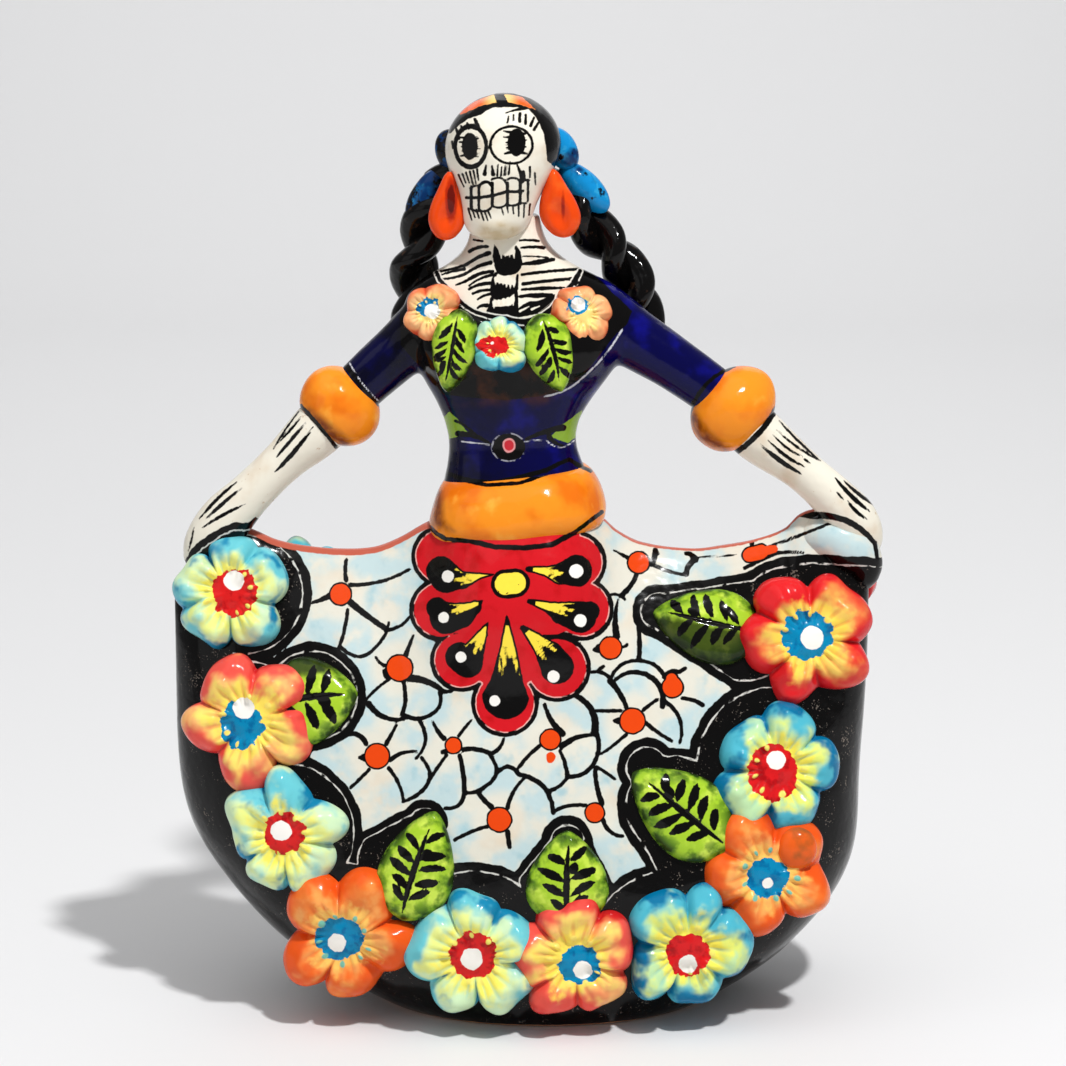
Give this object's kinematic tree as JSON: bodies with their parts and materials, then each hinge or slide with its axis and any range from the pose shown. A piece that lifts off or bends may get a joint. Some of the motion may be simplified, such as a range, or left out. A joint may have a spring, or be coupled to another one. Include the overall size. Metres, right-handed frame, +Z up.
{
  "type": "catrina skeleton doll",
  "caption": "Glazed ceramic skeleton lady in a blue bodice who holds out a wide skirt bordered with raised flowers and leaves.",
  "frame": {"origin": "on the flat foot of the skirt, under the middle of the figure", "axes": "+Z up, the figure faces -Y, and +X is the viewer's right in front of it"},
  "size_m": [0.2331, 0.1133, 0.2997],
  "materials": {
    "glazed_clay": "glossy clear glaze over hand-painted colours on a warm white ground"
  },
  "bodies": {
    "root": {"catrina_figure": "glazed_clay"}
  },
  "joints": []
}
